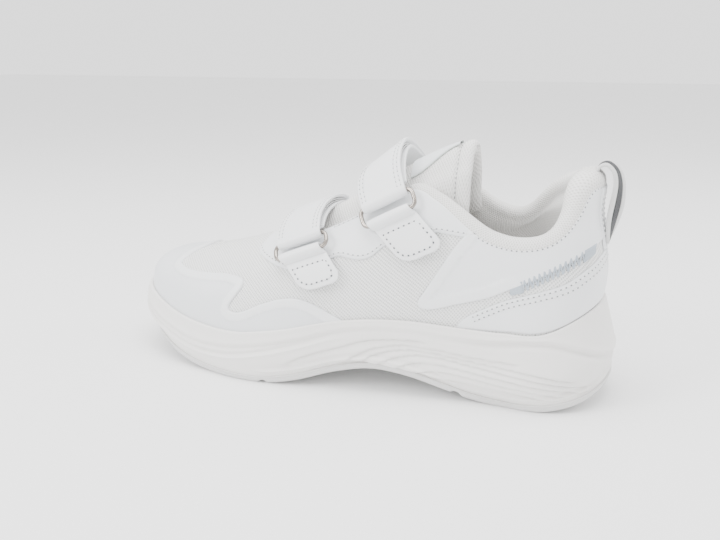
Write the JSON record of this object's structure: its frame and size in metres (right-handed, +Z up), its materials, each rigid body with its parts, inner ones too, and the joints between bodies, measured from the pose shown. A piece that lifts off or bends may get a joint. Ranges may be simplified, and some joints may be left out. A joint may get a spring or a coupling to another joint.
{
  "type": "cheer shoe",
  "caption": "Low-cut left cheer shoe with a rocker foam sole, mesh upper with smooth overlays, padded collar and tongue, and ring-and-strap closures.",
  "frame": {"origin": "middle of the shoe's bounding box, on the ground under the sole", "axes": "-X points to the toe, -Y to the outer (lateral) side of this left shoe, +Z up; standing on its sole"},
  "size_m": [0.2712, 0.1014, 0.1281],
  "materials": {
    "mesh": "fine diagonal knitted mesh, matt",
    "film": "smooth fused film, satin",
    "leather": "smooth coated synthetic leather, satin",
    "lining": "air mesh, matt",
    "foam": "open-cell foam, matt",
    "eva": "moulded foam, satin",
    "rubber": "moulded rubber, matt",
    "board": "pressed fibre board, matt",
    "reflective": "reflective transfer, satin",
    "tape": "hook and loop tape, matt",
    "webbing": "woven webbing, matt",
    "nickel": "nickel-plated wire, polished"
  },
  "bodies": {
    "shoe_body": {"outsole": "rubber", "midsole": "eva", "insole_board": "board", "sockliner": "lining", "mesh_upper": "mesh", "vamp_lining": "lining", "toe_puff": "board", "heel_counter": "board", "collar_foam": "foam", "collar_lining": "lining", "toe_overlay": "film", "heel_panel": "leather", "eyestay_lateral": "leather", "quarter_panel_lateral": "leather", "reflective_strip_lateral": "reflective", "eyestay_medial": "leather", "quarter_panel_medial": "leather", "reflective_strip_medial": "reflective", "backstay": "leather", "anchor_tab_front": "leather", "loop_tape_front": "tape", "strap_base_front": "leather", "root_patch_front": "leather", "anchor_tab_rear": "leather", "loop_tape_rear": "tape", "strap_base_rear": "leather", "root_patch_rear": "leather", "pull_tab": "webbing"},
    "tongue": {"tongue_face": "mesh", "tongue_foam": "foam", "tongue_lining": "lining", "tongue_binding": "mesh", "tongue_trim": "film"},
    "front_ring": {"ring_front": "nickel"},
    "front_flap": {"strap_flap_front": "leather", "hook_tape_front": "tape"},
    "rear_ring": {"ring_rear": "nickel"},
    "rear_flap": {"strap_flap_rear": "leather", "hook_tape_rear": "tape"}
  },
  "joints": [
    {"name": "tongue_dip", "type": "hinge", "parent": "shoe_body", "child": "tongue", "pos_m": [-0.04106, -0.0016, 0.0635], "axis": [0, 1, 0], "range_deg": [0, 8], "stiffness_Nm_per_rad": 0.3, "springref_deg": -8.59},
    {"name": "front_ring_tilt", "type": "hinge", "parent": "shoe_body", "child": "front_ring", "pos_m": [-0.01623, -0.03867, 0.06994], "axis": [0.9279, 0.0981, 0.3598], "range_deg": [0, 40]},
    {"name": "front_strap_open", "type": "hinge", "parent": "front_ring", "child": "front_flap", "pos_m": [-0.01915, -0.03311, 0.07597], "axis": [0.9279, 0.0981, 0.3598], "range_deg": [0, 110]},
    {"name": "rear_ring_tilt", "type": "hinge", "parent": "shoe_body", "child": "rear_ring", "pos_m": [0.02919, -0.03215, 0.09057], "axis": [0.8862, 0.0763, 0.457], "range_deg": [0, 40]},
    {"name": "rear_strap_open", "type": "hinge", "parent": "rear_ring", "child": "rear_flap", "pos_m": [0.02476, -0.02745, 0.09836], "axis": [0.8862, 0.0763, 0.457], "range_deg": [0, 110]}
  ]
}
